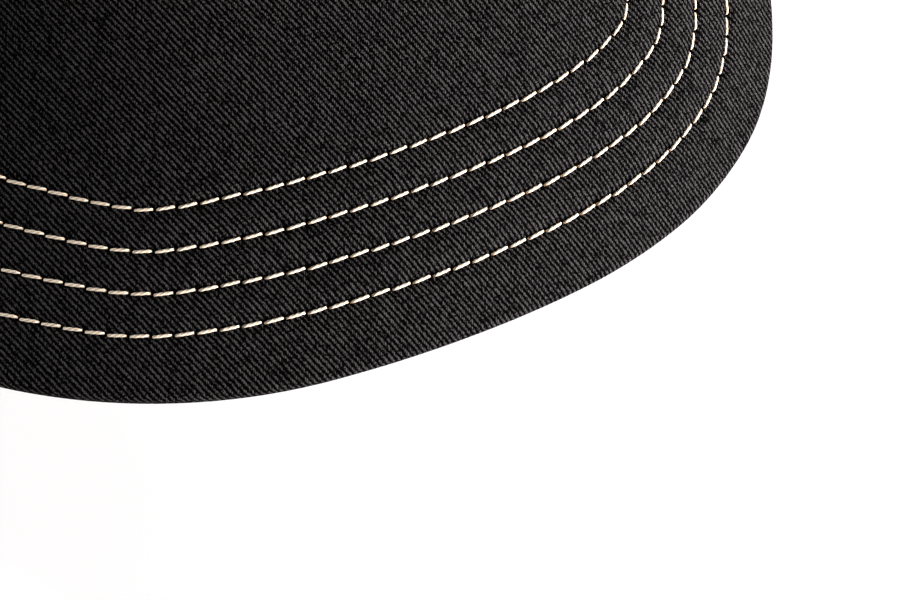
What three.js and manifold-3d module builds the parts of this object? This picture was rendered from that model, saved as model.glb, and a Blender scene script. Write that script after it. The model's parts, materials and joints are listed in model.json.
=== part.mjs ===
// Trucker hat: two twill front panels, four coarse net panels, a curved peak and a snap strap.
// Millimetres, +Z up, the peak points along -Y. The crown is drawn with its rim in the plane
// z = 0, and at the end the whole hat is tipped back so that it stands on a table.

import * as THREE from 'three';
import { mergeVertices } from 'three/addons/utils/BufferGeometryUtils.js';
import Module from 'manifold-3d';

const radians = THREE.MathUtils.degToRad;
const { lerp, smoothstep } = THREE.MathUtils;

// Clearances between neighbouring pieces
const gap = 0.3;
const facetGap = 0.95; // behind a panel, whose flat facets sag inwards a little

// Crown: an oval dome, squarer in front than behind
const crown = {
  halfLength: 103,
  halfWidth: 86,
  height: 118,
  apexBack: 5, // the top button sits this far behind the rim's middle
  squareness: { front: 3.1, side: 2.5, back: 2.25 },
  panelAngle: radians(60),
  openTop: 0.05, // share of the radius left open under the button
};
const twillThickness = 2;
const netThickness = 1.4;

// Net: hexagonal holes in a hemmed panel
const net = { holeRadius: 8.3, strand: 4.7, hem: 9, sideBorder: 5 };

// Peak: a flat crescent bent round a straight axis, sloping down forward
const peak = {
  bendRadius: 143,
  slope: radians(14),
  depth: 58.8, // from the crown seam to the front edge, in the middle
  coverThickness: 1.6,
  // the front edge from the middle outwards, as arcs that join smoothly
  edgeArcs: [
    { radius: 98, length: 29 },
    { radius: 221, length: 42.7 },
    { radius: 112, length: 19.1 },
    { radius: 67, length: 19 },
    { radius: 33.6, length: 21 },
  ],
};

// Sweatband inside the rim, open at the back
const sweatband = {
  height: 30,
  thickness: 1.4,
  backGap: 42, // its ends stop this far to each side of the back seam
  strapRun: 35, // length over which it swings in to pass behind the strap's ends
};

// Arched opening at the back, with its folded binding
const arch = { halfWidth: 40, height: 50 };
const binding = { leg: 8, thickness: 0.8, edge: 1.3 };

// Snap strap: two plastic bands that overlap in the middle
const strap = {
  bottom: 2.5,
  height: 20,
  thickness: 1.5,
  pitch: 8.5,
  snaps: 7,
  lap: 22.5, // each band's free end passes the middle by this much
  reach: 60, // each band's sewn end, from the middle
  pegRadius: 2.1,
  holeRadius: 2.5,
  pegRise: 1, // how far a peg stands out of its hole
};

// Tape over the panel seams, from above the sweatband or the arch to near the button
const tape = { width: 10, thickness: 0.8, clearance: 4, topReach: 0.125 };
const button = { radius: 8.5, height: 5.5, rim: 1.2, shankRadius: 3, shankLength: 4 };

// Finishes
const finish = (color, roughness) => new THREE.MeshStandardMaterial({ color, roughness, metalness: 0 });
const twill = finish(0x262425, 0.9);
const meshNet = finish(0x1b1b1c, 0.8);
const cotton = finish(0x1f1e1f, 0.95);
const plastic = finish(0x18181a, 0.45);

const wasm = await Module();
wasm.setup();

// Merges a geometry's vertices, moves each of them with toPoint(x, y, z), and turns the
// faces outwards where the move has mirrored them.
function wrap(source, toPoint) {
  for (const name of ['normal', 'uv']) source.deleteAttribute(name);
  const geometry = mergeVertices(source, 1e-4);
  const position = geometry.attributes.position;
  for (let i = 0; i < position.count; i++) {
    const { x, y, z } = toPoint(position.getX(i), position.getY(i), position.getZ(i));
    position.setXYZ(i, x, y, z);
  }
  if (signedVolume(geometry) < 0) {
    const index = geometry.index.array;
    for (let i = 0; i < index.length; i += 3) [index[i], index[i + 1]] = [index[i + 1], index[i]];
  }
  geometry.clearGroups();
  return geometry;
}

function signedVolume(geometry) {
  const corner = [0, 1, 2].map(() => new THREE.Vector3());
  const index = geometry.index.array;
  let volume = 0;
  for (let i = 0; i < index.length; i += 3) {
    corner.forEach((point, j) => point.fromBufferAttribute(geometry.attributes.position, index[i + j]));
    volume += corner[0].dot(corner[1].clone().cross(corner[2])) / 6;
  }
  return volume;
}

function toSolid(geometry) {
  return new wasm.Manifold(new wasm.Mesh({
    numProp: 3,
    vertProperties: Float32Array.from(geometry.attributes.position.array),
    triVerts: Uint32Array.from(geometry.index.array),
  }));
}

function fromSolid(solid) {
  const { vertProperties, triVerts } = solid.getMesh();
  const geometry = new THREE.BufferGeometry();
  geometry.setAttribute('position', new THREE.BufferAttribute(vertProperties, 3));
  geometry.setIndex(new THREE.BufferAttribute(triVerts, 1));
  return geometry;
}

// A wall made from a flat slab: across and along run from 0 to 1 over its face, and depth
// from 0 on the outer side to 1 on the inner side.
function slab(acrossSteps, alongSteps, toPoint) {
  const box = new THREE.BoxGeometry(1, 1, 1, acrossSteps, alongSteps, 1);
  return wrap(box, (x, y, z) => toPoint(x + 0.5, y + 0.5, z + 0.5));
}

// Crown surface. Azimuth is 0 in front and positive towards +X, climb is 0 at the rim and a
// right angle at the top.

function squarenessAt(azimuth) {
  const forward = Math.cos(azimuth);
  const { front, side, back } = crown.squareness;
  return side + ((forward > 0 ? front : back) - side) * forward * forward;
}

function crownSkin(azimuth, climb) {
  const power = squarenessAt(azimuth);
  const radius = (Math.cos(climb) ** power + Math.sin(climb) ** power) ** (-1 / power);
  const reach = radius * Math.cos(climb);
  return new THREE.Vector3(
    crown.halfWidth * Math.sin(azimuth) * reach,
    crown.apexBack - (crown.halfLength * Math.cos(azimuth) + crown.apexBack) * reach,
    crown.height * radius * Math.sin(climb)
  );
}

function crownPoint(azimuth, climb, inset) {
  const step = 1e-3;
  const along = crownSkin(azimuth + step, climb).sub(crownSkin(azimuth - step, climb));
  const up = crownSkin(azimuth, climb + step).sub(crownSkin(azimuth, Math.max(climb - step, 0)));
  const outward = along.cross(up).normalize();
  return crownSkin(azimuth, climb).addScaledVector(outward, -inset);
}

function climbAtHeight(azimuth, height) {
  const power = squarenessAt(azimuth);
  const rise = Math.max(height, 0) / crown.height;
  return Math.atan2(rise, (1 - rise ** power) ** (1 / power));
}

// The climb at which the dome has closed to a share of its radius
function climbAtReach(azimuth, reach) {
  const power = squarenessAt(azimuth);
  return Math.atan2((1 - reach ** power) ** (1 / power), reach);
}

// Distance round the crown for each radian of azimuth
function girth(azimuth, climb) {
  const step = 1e-3;
  return crownSkin(azimuth + step, climb).distanceTo(crownSkin(azimuth - step, climb)) / (2 * step);
}

// Azimuth of a point at a distance to the side of the back seam
const backAzimuth = (aside) => Math.PI - aside / crown.halfWidth;

// Peak surface. The seam's middle is its origin, and lift is measured up from the top face.

const seamEnd = crownSkin(crown.panelAngle, 0);
const topRise = (x, y) => {
  const bend = Math.sqrt(peak.bendRadius ** 2 - x ** 2) - peak.bendRadius;
  const forward = forwardAt(bend, y);
  return bend * Math.cos(peak.slope) - forward * Math.sin(peak.slope);
};
const forwardAt = (bend, y) => (-crown.halfLength - y - bend * Math.sin(peak.slope)) / Math.cos(peak.slope);
const seamRise = -gap - topRise(seamEnd.x, seamEnd.y); // the seam arches up this far in front
const peakTop = (x, y) => seamRise + topRise(x, y);

function peakPoint(across, forward, lift) {
  const angle = across / peak.bendRadius;
  const radius = peak.bendRadius + lift;
  const bend = radius * Math.cos(angle) - peak.bendRadius;
  return new THREE.Vector3(
    radius * Math.sin(angle),
    -crown.halfLength - forward * Math.cos(peak.slope) - bend * Math.sin(peak.slope),
    seamRise + bend * Math.cos(peak.slope) - forward * Math.sin(peak.slope)
  );
}

// A point of the crown's wall, seen in the flat pattern of the peak
function seamPoint(azimuth, inset) {
  const { x, y } = crownPoint(azimuth, 0, inset);
  const bend = Math.sqrt(peak.bendRadius ** 2 - x ** 2) - peak.bendRadius;
  return new THREE.Vector2(peak.bendRadius * Math.asin(x / peak.bendRadius), forwardAt(bend, y));
}

// The peak's edge in its flat pattern, as a function of the share of its length from the
// middle to the seam's end. Heading is the angle by which the edge has turned backwards.
function peakEdge() {
  const arcs = [];
  let heading = 0;
  let start = new THREE.Vector2(0, peak.depth);
  const arcPoint = ({ radius, heading, start }, length) => new THREE.Vector2(
    start.x + radius * (Math.sin(heading + length / radius) - Math.sin(heading)),
    start.y - radius * (Math.cos(heading) - Math.cos(heading + length / radius))
  );
  for (const { radius, length } of peak.edgeArcs) {
    arcs.push({ radius, length, heading, start });
    start = arcPoint(arcs.at(-1), length);
    heading += length / radius;
  }
  // one more arc leads back to the crown seam
  const chord = seamPoint(crown.panelAngle, 0).sub(start);
  const turn = 2 * (Math.atan2(-chord.y, chord.x) - heading);
  const radius = chord.length() / (2 * Math.sin(turn / 2));
  arcs.push({ radius, length: radius * turn, heading, start });

  const total = arcs.reduce((sum, arc) => sum + arc.length, 0);
  return (share) => {
    let rest = share * total;
    let i = 0;
    while (i < arcs.length - 1 && rest > arcs[i].length) rest -= arcs[i++].length;
    return arcPoint(arcs[i], rest);
  };
}

const edgeAt = peakEdge();
const peakInset = twillThickness + gap + sweatband.thickness; // the peak runs in under the rim

// The peak has a top and an under cover, alike in outline
function peakCover(lift) {
  return slab(40, 4, (across, along, depth) => {
    const share = Math.abs(2 * across - 1);
    const side = Math.sign(across - 0.5);
    const seam = seamPoint(share * crown.panelAngle, peakInset);
    const flat = seam.lerp(edgeAt(share), along);
    return peakPoint(side * flat.x, flat.y, lift - depth * peak.coverThickness);
  });
}

// Twill front panels, whose lower edge follows the top of the peak

// The climb at which the wall, at some inset, is as high as rimHeight(point) asks
function climbAtRim(azimuth, inset, rimHeight) {
  const passes = 12;
  let climb = 0;
  for (let i = 0; i < passes; i++) {
    const point = crownPoint(azimuth, climb, inset);
    climb = Math.max(climb + (rimHeight(point) - point.z) / crown.height, 0);
  }
  return climb;
}

// Azimuth at a share of a panel's width, with half a gap left free at both seams
function panelAzimuth(start, share, climb) {
  const middle = start + crown.panelAngle / 2;
  const margin = gap / 2 / (girth(middle, climb) * crown.panelAngle);
  return start + crown.panelAngle * lerp(margin, 1 - margin, share);
}

const overPeak = ({ x, y }) => peakTop(x, y) + gap;

function frontPanel(side) {
  return slab(8, 12, (across, along, depth) => {
    const inset = depth * twillThickness;
    const nominal = across * crown.panelAngle;
    const climb = lerp(
      climbAtRim(nominal, inset, overPeak),
      climbAtReach(nominal, crown.openTop),
      along
    );
    const point = crownPoint(panelAzimuth(0, across, climb), climb, inset);
    return point.setX(side * point.x);
  });
}

// Net panels: a curved wall with staggered rows of hexagonal holes

function netHolePlaces(start, atBack) {
  const middle = start + crown.panelAngle / 2;
  const topClimb = climbAtReach(middle, crown.openTop);
  const pitch = net.holeRadius * Math.sqrt(3) + net.strand;
  const rowStep = (pitch * Math.sqrt(3)) / 2;
  const places = [];
  let climb = 0;
  let height = 0; // distance up the panel's middle line
  const climbStep = 0.002;
  for (let row = 0; climb < topClimb; row++) {
    const rowHeight = net.hem + net.holeRadius + row * rowStep;
    while (height < rowHeight && climb < topClimb) {
      height += crownSkin(middle, climb + climbStep).distanceTo(crownSkin(middle, climb));
      climb += climbStep;
    }
    const halfWidth = (girth(middle, climb) * crown.panelAngle) / 2;
    const room = halfWidth - net.sideBorder - net.holeRadius;
    const shift = (row % 2) / 2;
    for (let column = Math.ceil(-room / pitch - shift); (column + shift) * pitch <= room; column++) {
      const azimuth = middle + ((column + shift) * pitch * crown.panelAngle) / 2 / halfWidth;
      if (!atBack || clearOfArch(azimuth, climb)) places.push({ azimuth, climb });
    }
  }
  return places;
}

// Arched back opening, cut straight through along Y

function clearOfArch(azimuth, climb) {
  const { x, z } = crownSkin(azimuth, climb);
  const margin = binding.leg + net.holeRadius + gap;
  return Math.hypot(x / (arch.halfWidth + margin), z / (arch.height + margin)) > 1;
}

function archCutter() {
  const depth = 2 * crown.halfLength;
  const outline = new THREE.Shape().absellipse(0, 0, arch.halfWidth, arch.height, 0, 2 * Math.PI);
  const prism = new THREE.ExtrudeGeometry(outline, { depth, bevelEnabled: false, curveSegments: 16 });
  return toSolid(wrap(prism, (x, y, z) => new THREE.Vector3(x, z, y)));
}

// Place on the crown of a point of the arch, widened by outset: share runs from 0 to 1 from
// its foot on the +X side over its top to the other foot
function archPlace(share, outset) {
  const turn = share * Math.PI;
  const x = (arch.halfWidth + outset) * Math.cos(turn);
  const z = (arch.height + outset) * Math.sin(turn);
  const passes = 8;
  let azimuth = Math.PI;
  for (let i = 0; i < passes; i++) {
    const reach = crownSkin(Math.PI / 2, climbAtHeight(azimuth, z)).x;
    azimuth = Math.PI - Math.asin(x / reach);
  }
  return { azimuth, climb: climbAtHeight(azimuth, z) };
}

// A straight round or hexagonal pin through the crown's wall, from one inset to another
function pin(azimuth, climb, fromInset, toInset, radius, sides) {
  const start = crownPoint(azimuth, climb, fromInset);
  const axis = crownPoint(azimuth, climb, toInset).sub(start);
  const up = new THREE.Vector3(0, 1, 0);
  const turn = new THREE.Quaternion().setFromUnitVectors(up, axis.clone().normalize());
  const cylinder = new THREE.CylinderGeometry(radius, radius, axis.length(), sides);
  return toSolid(wrap(cylinder, (x, y, z) =>
    new THREE.Vector3(x, y, z).applyQuaternion(turn).add(start).addScaledVector(axis, 0.5)
  ));
}

function netPanel(start, side, atBack) {
  const wall = slab(6, 8, (across, along, depth) => {
    const climb = along * climbAtReach(start + across * crown.panelAngle, crown.openTop);
    return crownPoint(panelAzimuth(start, across, climb), climb, depth * netThickness);
  });
  const overrun = 5; // the cut passes both faces by this much
  let solid = toSolid(wall);
  for (const { azimuth, climb } of netHolePlaces(start, atBack)) {
    solid = solid.subtract(pin(azimuth, climb, -overrun, netThickness + overrun, net.holeRadius, 6));
  }
  if (atBack) solid = solid.subtract(archCutter());
  return wrap(fromSolid(solid), (x, y, z) => new THREE.Vector3(side * x, y, z));
}

// Binding folded over the arch: a U-shaped section carried round the opening
function archBinding() {
  const outside = gap;
  const inside = netThickness + facetGap;
  const section = new THREE.Shape([
    new THREE.Vector2(-binding.edge, outside + binding.thickness),
    new THREE.Vector2(-binding.edge, -inside - binding.thickness),
    new THREE.Vector2(binding.leg, -inside - binding.thickness),
    new THREE.Vector2(binding.leg, -inside),
    new THREE.Vector2(-gap, -inside),
    new THREE.Vector2(-gap, outside),
    new THREE.Vector2(binding.leg, outside),
    new THREE.Vector2(binding.leg, outside + binding.thickness),
  ]);
  const swept = new THREE.ExtrudeGeometry(section, { depth: 1, steps: 24, bevelEnabled: false });
  return wrap(swept, (x, y, z) => {
    const { azimuth, climb } = archPlace(z, x);
    return crownPoint(azimuth, climb, -y);
  });
}

// Snap strap. Aside is the distance from the back seam, positive towards +X.

const strapInset = netThickness + facetGap + binding.thickness + gap;
const lapInset = strapInset + strap.thickness + gap;

// The inner band steps inwards where it passes behind the outer one
const lapEnd = strap.lap + strap.thickness;
const innerBandInset = (aside) => lerp(lapInset, strapInset, smoothstep(aside, lapEnd, arch.halfWidth));

const strapPoint = (aside, height, inset) => {
  const azimuth = backAzimuth(aside);
  return crownPoint(azimuth, climbAtHeight(azimuth, height), inset);
};

// Places of the snaps on a band, from its free end: all but two lie in the lap
const snapPlaces = (direction) => {
  const lapSnaps = strap.snaps - 2;
  return Array.from({ length: strap.snaps }, (_, i) => direction * (i - (lapSnaps - 1) / 2) * strap.pitch);
};

const strapBand = (from, to, insetAt) =>
  toSolid(slab(12, 1, (across, along, depth) => {
    const aside = lerp(from, to, across);
    return strapPoint(aside, strap.bottom + along * strap.height, insetAt(aside) + depth * strap.thickness);
  }));

function snapPin(aside, fromInset, toInset, radius) {
  const azimuth = backAzimuth(aside);
  const climb = climbAtHeight(azimuth, strap.bottom + strap.height / 2);
  return pin(azimuth, climb, fromInset, toInset, radius, 8);
}

function outerBand() {
  let band = strapBand(-strap.reach, strap.lap, () => strapInset);
  for (const aside of snapPlaces(-1)) {
    band = band.subtract(snapPin(aside, strapInset - gap, lapInset + gap, strap.holeRadius));
  }
  return fromSolid(band);
}

// Each peg stands on the inner band and passes out through a hole of the outer band
function innerBand() {
  let band = strapBand(-strap.lap, strap.reach, innerBandInset);
  for (const aside of snapPlaces(1)) {
    const face = innerBandInset(aside);
    const tip = face - gap - strap.thickness - strap.pegRise;
    band = band.add(snapPin(aside, face + strap.thickness / 2, tip, strap.pegRadius));
  }
  return fromSolid(band);
}

// Sweatband: it passes inside the strap's sewn ends, and sits on the peak in front
function headBand() {
  const endAzimuth = backAzimuth(sweatband.backGap);
  const outerInset = (azimuth) => {
    const aside = (Math.PI - Math.abs(azimuth)) * crown.halfWidth;
    const behindStrap = 1 - smoothstep(aside, strap.reach, strap.reach + sweatband.strapRun);
    return lerp(twillThickness + gap, lapInset, behindStrap);
  };
  const besideEnd = radians(1);
  const riseEnd = radians(14); // the lower edge comes down to the rim beside the peak's ends
  return slab(44, 1, (across, along, depth) => {
    const azimuth = lerp(-endAzimuth, endAzimuth, across);
    const inset = outerInset(azimuth) + depth * sweatband.thickness;
    const pastPeak = Math.abs(azimuth) - crown.panelAngle;
    const overShare = 1 - smoothstep(pastPeak, besideEnd, riseEnd);
    const rim = (point) => (overShare > 0 ? overShare * Math.max(overPeak(point), 0) : 0);
    const bottom = crownPoint(azimuth, climbAtRim(azimuth, inset, rim), inset);
    if (along === 0) return bottom;
    return crownPoint(azimuth, climbAtHeight(azimuth, bottom.z + sweatband.height), inset);
  });
}

// Tape over the inside of a panel seam
function seamTape(azimuth, bottomHeight, inset) {
  const bottomClimb = climbAtHeight(azimuth, bottomHeight);
  const topClimb = climbAtReach(azimuth, tape.topReach);
  return slab(1, 10, (across, along, depth) => {
    const climb = lerp(bottomClimb, topClimb, along);
    const aside = ((across - 0.5) * tape.width) / girth(azimuth, climb);
    return crownPoint(azimuth + aside, climb, inset + depth * tape.thickness);
  });
}

// Cloth-covered button with its shank
function topButton() {
  const outline = new THREE.Shape();
  outline.moveTo(0, -button.shankLength);
  outline.lineTo(button.shankRadius, -button.shankLength);
  outline.lineTo(button.shankRadius, gap);
  outline.lineTo(button.radius, gap);
  outline.lineTo(button.radius, button.rim);
  outline.absellipse(0, button.rim, button.radius, button.height - button.rim, 0, Math.PI / 2, false);
  const profile = outline.extractPoints(4).shape;
  profile.at(-1).x = 0;
  const lathe = new THREE.LatheGeometry(profile, 16);
  return wrap(lathe, (x, y, z) => new THREE.Vector3(x, crown.apexBack - z, crown.height + y));
}

// Assembly

const hat = new THREE.Group();
const add = (name, geometry, material) => {
  const mesh = new THREE.Mesh(geometry, material);
  mesh.name = name;
  hat.add(mesh);
};

add('peak_cover_top', peakCover(0), twill);
add('peak_cover_under', peakCover(-peak.coverThickness - gap), twill);
for (const [name, side] of [['left', -1], ['right', 1]]) {
  add(`front_panel_${name}`, frontPanel(side), twill);
  add(`net_panel_side_${name}`, netPanel(crown.panelAngle, side, false), meshNet);
  add(`net_panel_back_${name}`, netPanel(2 * crown.panelAngle, side, true), meshNet);
}
add('sweatband', headBand(), cotton);
add('arch_binding', archBinding(), cotton);
add('snap_strap_outer', outerBand(), plastic);
add('snap_strap_inner', innerBand(), plastic);
add('top_button', topButton(), twill);

const tapeFoot = sweatband.height + tape.clearance;
const archTapeFoot = arch.height + binding.leg + tape.clearance;
const behindTwill = twillThickness + facetGap;
const behindNet = netThickness + facetGap;
add('seam_tape_front', seamTape(0, seamRise + tapeFoot, behindTwill), cotton);
add('seam_tape_side_left', seamTape(-crown.panelAngle, tapeFoot, behindTwill), cotton);
add('seam_tape_side_right', seamTape(crown.panelAngle, tapeFoot, behindTwill), cotton);
add('seam_tape_rear_left', seamTape(-2 * crown.panelAngle, tapeFoot, behindNet), cotton);
add('seam_tape_rear_right', seamTape(2 * crown.panelAngle, tapeFoot, behindNet), cotton);
add('seam_tape_back', seamTape(Math.PI, archTapeFoot, behindNet), cotton);

// Resting on a table: the hat tips back until the back rim and the peak's side edges touch it

const points = hat.children.flatMap(({ geometry: { attributes: { position } } }) =>
  Array.from({ length: position.count }, (_, i) => new THREE.Vector3().fromBufferAttribute(position, i))
);
const lowest = (tilt, atFront) => Math.min(
  ...points.filter(({ y }) => y < 0 === atFront).map(({ y, z }) => y * Math.sin(tilt) + z * Math.cos(tilt))
);

function restTilt() {
  const halvings = 24;
  let [low, high] = [radians(-25), 0];
  for (let i = 0; i < halvings; i++) {
    const middle = (low + high) / 2;
    if (lowest(middle, true) < lowest(middle, false)) high = middle;
    else low = middle;
  }
  return high;
}

hat.rotation.x = restTilt();
hat.updateMatrixWorld(true);
const box = new THREE.Box3().setFromObject(hat, true);
const middle = box.getCenter(new THREE.Vector3());
hat.position.set(-middle.x, -middle.y, -box.min.z);

export default hat;
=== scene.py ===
import json
import math

import bmesh
import bpy
import numpy as np
from mathutils import Matrix, Vector


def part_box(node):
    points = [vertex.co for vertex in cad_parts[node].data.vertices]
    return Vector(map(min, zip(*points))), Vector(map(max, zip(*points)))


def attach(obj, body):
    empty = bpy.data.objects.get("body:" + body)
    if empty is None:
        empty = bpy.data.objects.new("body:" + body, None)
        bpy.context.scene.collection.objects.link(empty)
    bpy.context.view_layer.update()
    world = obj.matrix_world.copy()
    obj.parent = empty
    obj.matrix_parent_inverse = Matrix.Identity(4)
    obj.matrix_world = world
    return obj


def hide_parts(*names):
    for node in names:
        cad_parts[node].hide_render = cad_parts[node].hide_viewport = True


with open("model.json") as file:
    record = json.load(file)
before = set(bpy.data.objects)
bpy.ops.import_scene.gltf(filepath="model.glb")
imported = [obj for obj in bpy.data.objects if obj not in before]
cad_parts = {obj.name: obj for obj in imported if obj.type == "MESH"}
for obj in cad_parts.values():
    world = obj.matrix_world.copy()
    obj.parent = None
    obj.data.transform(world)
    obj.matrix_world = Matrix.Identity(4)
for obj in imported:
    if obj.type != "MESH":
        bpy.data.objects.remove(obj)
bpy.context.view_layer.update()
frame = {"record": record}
mm = 0.001

# All shapes are worked out in millimetres on the untipped hat, whose rim lies in the plane z = 0

crown = {
    "halfLength": 103,
    "halfWidth": 86,
    "height": 118,
    "apexBack": 5,
    "squareFront": 3.1,
    "squareSide": 2.5,
    "squareBack": 2.25,
    "panelAngle": math.radians(60),
    "openTop": 0.05,  # share of the radius left open under the button
    "stitchTop": 0.11,  # share of the radius at which the stitches beside the seams end
    "gap": 0.3,
    "seamJoin": 0.03,  # sewn panels stop this far from the middle of their seam
}
panel = crown["panelAngle"]
nudge = 1e-3  # step in radians for measuring slopes
stitchMargin = 0.02  # a row of tonal stitches stops this many radians from the cloth's edge


def unit(vectors):
    return vectors / np.maximum(np.linalg.norm(vectors, axis=-1, keepdims=True), 1e-12)


def smoothStep(value, low, high):
    share = np.clip((value - low) / (high - low), 0, 1)
    return share * share * (3 - 2 * share)


def mix(a, b, share):
    return a + (b - a) * share


# Points from their coordinates, each spread over the shape of the others
def stacked(*values):
    return np.stack(np.broadcast_arrays(*values), axis=-1)


# Turned about the X axis
def tipped(vectors, angle):
    x, y, z = np.moveaxis(np.asarray(vectors, float), -1, 0)
    c, s = math.cos(angle), math.sin(angle)
    return stacked(x, y * c - z * s, y * s + z * c)


# Length from the start of a line of points, or up each column of a grid
def runOf(line):
    return np.cumsum(np.linalg.norm(np.diff(line, axis=0, prepend=line[:1]), axis=-1), axis=0)


# Lists of values that go with a line of points, read at evenly spaced places on it
def evenly(line, pitch, *lists):
    run = runOf(line)
    at = np.linspace(0, run[-1], max(round(run[-1] / pitch), 1) + 1)
    return [np.interp(at, run, values) for values in lists]


# Depth share of a sewn channel or a dimple, at a distance from its middle
def channel(distance, width=0.7):
    return np.exp(-((distance / width) ** 2))


def crownPower(azimuth):
    forward = np.cos(azimuth)
    end = np.where(forward > 0, crown["squareFront"], crown["squareBack"])
    return crown["squareSide"] + (end - crown["squareSide"]) * forward**2


# Azimuth is 0 in front and positive towards +X, climb is 0 at the rim and a right angle on top
def crownSkin(azimuth, climb):
    power = crownPower(azimuth)
    level, rise = np.maximum(np.cos(climb), 0), np.maximum(np.sin(climb), 0)
    radius = (level**power + rise**power) ** (-1 / power)
    reach = radius * level
    back = crown["apexBack"]
    return stacked(
        crown["halfWidth"] * np.sin(azimuth) * reach,
        back - (crown["halfLength"] * np.cos(azimuth) + back) * reach,
        crown["height"] * radius * rise,
    )


def crownNormal(azimuth, climb):
    along = crownSkin(azimuth + nudge, climb) - crownSkin(azimuth - nudge, climb)
    up = crownSkin(azimuth, climb + nudge) - crownSkin(azimuth, np.maximum(climb - nudge, 0))
    return unit(np.cross(along, up))


def crownPoint(azimuth, climb, inset):
    inset = np.asarray(inset, float)[..., None]
    return crownSkin(azimuth, climb) - inset * crownNormal(azimuth, climb)


def climbAtHeight(azimuth, height):
    power = crownPower(azimuth)
    rise = np.maximum(height, 0) / crown["height"]
    return np.arctan2(rise, (1 - rise**power) ** (1 / power))


def climbAtReach(azimuth, reach):
    power = crownPower(azimuth)
    return np.arctan2((1 - reach**power) ** (1 / power), reach)


# Millimetres to each radian of azimuth
def girth(azimuth, climb):
    across = crownSkin(azimuth + nudge, climb) - crownSkin(azimuth - nudge, climb)
    return np.linalg.norm(across, axis=-1) / (2 * nudge)


def backAzimuth(aside):
    return math.pi - aside / crown["halfWidth"]


# Peak: a flat crescent bent round a straight axis. A place on it is across and forward in its
# flat pattern, from the middle of the crown seam, and lift above its top face.

peak = {
    "bendRadius": 143,
    "slope": math.radians(14),
    "depth": 58.8,
    "thickness": 1.6,
    "edgeArcs": [(98, 29), (221, 42.7), (112, 19.1), (67, 19), (33.6, 21)],  # radius, length
    "underRim": 3.7,  # it runs in under the crown's rim by this much
    "edgeRound": 1.0,
    "edgePull": 0.22,  # the turned edge draws in by this much
    "rowOffset": 10.44,  # outermost stitched row, from the front edge
    "rowStep": 6.36,
    "rowCount": 4,
    "rowEnd": 1.2,  # a row stops this far from the crown seam
    "middleBow": 0.77,  # in the middle the rows bow towards the edge, the inner ones more
    "bowGrowth": 0.25,
    "bowWidth": 13,
    "stitch": 3.25,
    "groove": 0.34,
    "grooveWidth": 0.75,
    "puff": 0.16,  # swell between the rows
    "puffFade": 5,
    "seamFade": (0.5, 3),  # the grooves fade out between these distances from the crown seam
    "dimple": 0.22,
    "dimpleWidth": 0.7,
    "pull": 0.06,  # shallow hollow round each dimple
    "pullWidth": 1.8,
    "holeShadeWidth": 0.5,  # width of the painted shade in the middle of each dimple
    "threadSink": 0.272,
    "swell": 0.12,
    "swellSize": 60,
}
peakDown, peakLevel = math.sin(peak["slope"]), math.cos(peak["slope"])
peakTotal = 2 * peak["thickness"] + crown["gap"]


def peakPoint(across, forward, lift):
    angle = across / peak["bendRadius"]
    radius = peak["bendRadius"] + lift
    bend = radius * np.cos(angle) - peak["bendRadius"]
    return stacked(
        radius * np.sin(angle),
        -crown["halfLength"] - forward * peakLevel - bend * peakDown,
        seamRise + bend * peakLevel - forward * peakDown,
    )


def peakNormal(across):
    angle = across / peak["bendRadius"]
    return stacked(np.sin(angle), -np.cos(angle) * peakDown, np.cos(angle) * peakLevel)


def bendAt(x):
    return np.sqrt(peak["bendRadius"] ** 2 - x**2) - peak["bendRadius"]


def forwardAt(x, y):
    return (-crown["halfLength"] - y - bendAt(x) * peakDown) / peakLevel


def topRise(x, y):
    return bendAt(x) * peakLevel - forwardAt(x, y) * peakDown


seamEnd = crownSkin(panel, 0)
seamRise = -crown["gap"] - float(topRise(seamEnd[0], seamEnd[1]))


# A point of the crown's wall at the rim, in the flat pattern of the peak
def seamPoint(azimuth, inset):
    x, y, _ = np.moveaxis(crownPoint(azimuth, 0.0, inset), -1, 0)
    return stacked(peak["bendRadius"] * np.arcsin(x / peak["bendRadius"]), forwardAt(x, y))


# The front edge of the flat pattern: points and inward directions for a share from -1 to 1
def makePeakEdge():
    arcs = []
    heading, start = 0.0, np.array([0.0, peak["depth"]])

    def arcPoint(arc, distance):
        radius, _, turn, origin = arc
        later = turn + distance / radius
        return origin + radius * stacked(np.sin(later) - math.sin(turn), np.cos(later) - math.cos(turn))

    for radius, length in peak["edgeArcs"]:
        arcs.append((radius, length, heading, start))
        start = arcPoint(arcs[-1], length)
        heading += length / radius
    chord = seamPoint(panel, 0.0) - start
    turn = 2 * (math.atan2(-chord[1], chord[0]) - heading)
    radius = float(np.hypot(*chord)) / (2 * math.sin(turn / 2))
    arcs.append((radius, radius * turn, heading, start))
    total = sum(arc[1] for arc in arcs)

    def edge(share):
        distance = np.abs(share) * total
        point, inward = np.zeros((2, len(share), 2))
        done = 0.0
        for arc in arcs:
            later = distance >= done
            rest = distance[later] - done
            turned = arc[2] + rest / arc[0]
            point[later] = arcPoint(arc, rest)
            inward[later] = stacked(-np.sin(turned), -np.cos(turned))
            done += arc[1]
        side = stacked(np.where(share < 0, -1, 1), 1)
        return point * side, inward * side

    return edge, total


peakEdge, peakHalfEdge = makePeakEdge()

# From the untipped hat to the frame: the tilt comes from the rim's mount, and the place from
# the mount and the foremost point of the peak

rimFace = next(m for m in frame["record"]["mounts"] if m["name"] == "rim_face")
tilt = math.asin(rimFace["axis"][1])
foremost = peakPoint(0.0, peak["depth"], 0.0)
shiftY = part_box("peak_cover_top")[0].y / mm - tipped(foremost, tilt)[1]
rimY = (rimFace["pos_m"][1] / mm - shiftY) / math.cos(tilt)
shiftZ = rimFace["pos_m"][2] / mm - rimY * math.sin(tilt)


def toFrame(points):
    return (tipped(points, tilt) + np.array([0, shiftY, shiftZ])) * mm


# Mesh helpers

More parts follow.
